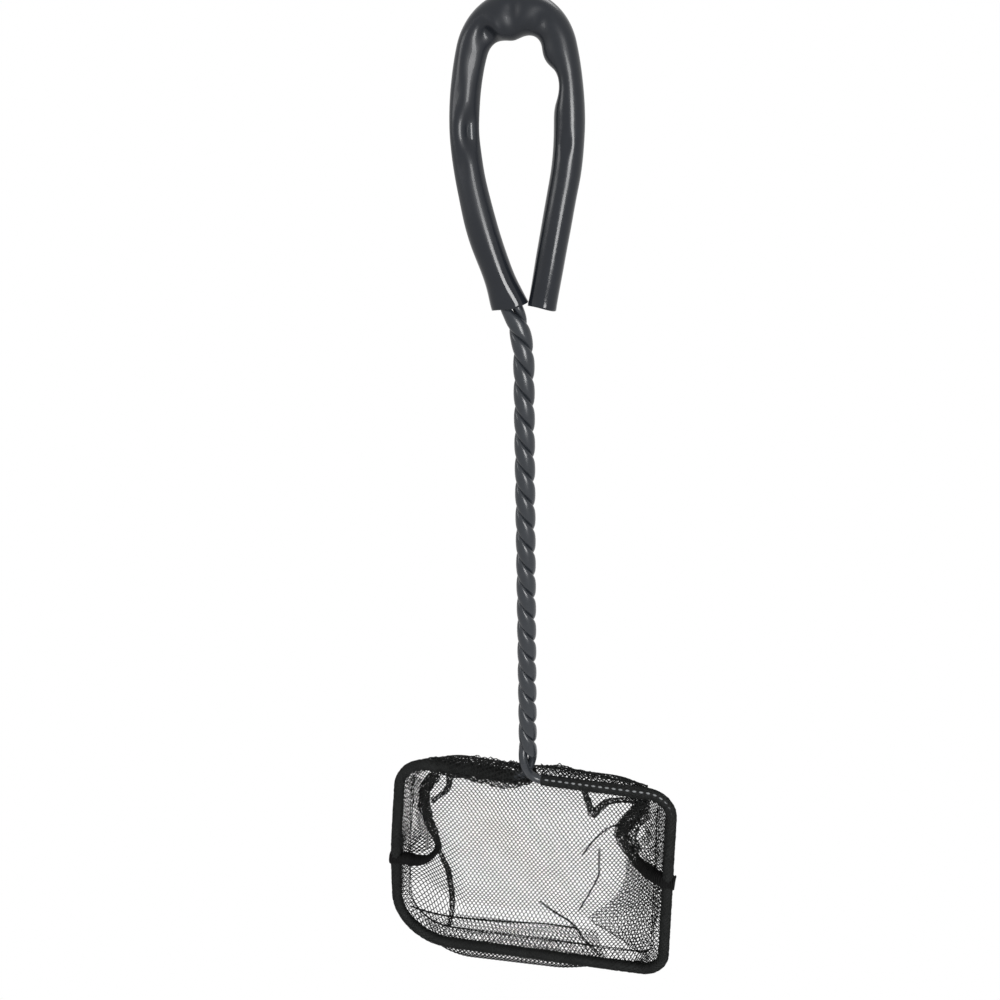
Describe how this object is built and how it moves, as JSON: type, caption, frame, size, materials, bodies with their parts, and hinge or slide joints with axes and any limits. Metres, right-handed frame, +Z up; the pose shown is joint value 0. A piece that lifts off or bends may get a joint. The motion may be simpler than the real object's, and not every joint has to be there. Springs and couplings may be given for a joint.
{
  "type": "aquarium fish net",
  "caption": "Hand fish net: a rounded rectangular wire hoop with a hemmed mesh bag, a twisted coated-wire shaft and a hanging grip loop in a soft vinyl sleeve.",
  "frame": {"origin": "hanging point: the inside top of the grip loop, in the plane of the hoop", "axes": "+Z up along the shaft towards the grip, +Y out of the back of the hoop into the bag, +X to the right seen from the open side"},
  "size_m": [0.1107, 0.0233, 0.3466],
  "materials": {
    "wire_vinyl": "satin dark grey vinyl bonded to steel wire",
    "sleeve_vinyl": "glossy slate-black vinyl",
    "netting": "black knitted nylon mesh",
    "seam_yarn": "black overlocked seam",
    "hem_yarn": "black sewing thread"
  },
  "bodies": {
    "root": {"coated_wire": "wire_vinyl", "grip_sleeve": "sleeve_vinyl", "rim_casing": "netting", "net_bag": "netting", "left_side_seam": "seam_yarn", "right_side_seam": "seam_yarn", "hem_thread": "hem_yarn"}
  },
  "joints": []
}
